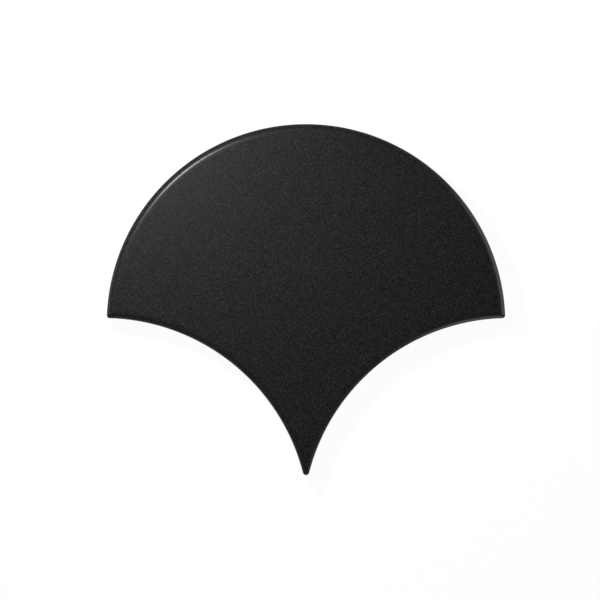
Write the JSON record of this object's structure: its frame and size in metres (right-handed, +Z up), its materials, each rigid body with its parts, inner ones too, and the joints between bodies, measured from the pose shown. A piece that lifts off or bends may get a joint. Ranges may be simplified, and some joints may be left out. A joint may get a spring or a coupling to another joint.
{
  "type": "fish scale tile",
  "caption": "Flat glazed ceramic wall tile with a round head and two hollow sides that meet in a point, so that rows of tiles overlap like scales.",
  "frame": {"origin": "centre of the round head, on the plane of the back that the tile lies on", "axes": "+Z up out of the glazed face; -Y down to the point; +X across the head, the tile's widest way"},
  "size_m": [0.1198, 0.1057, 0.0085],
  "materials": {
    "black_satin_glaze": "black satin glaze with a fine grain on the face and upper edge; bare buff body on the lower edge and back"
  },
  "bodies": {
    "root": {"fish_scale_tile": "black_satin_glaze"}
  },
  "joints": []
}
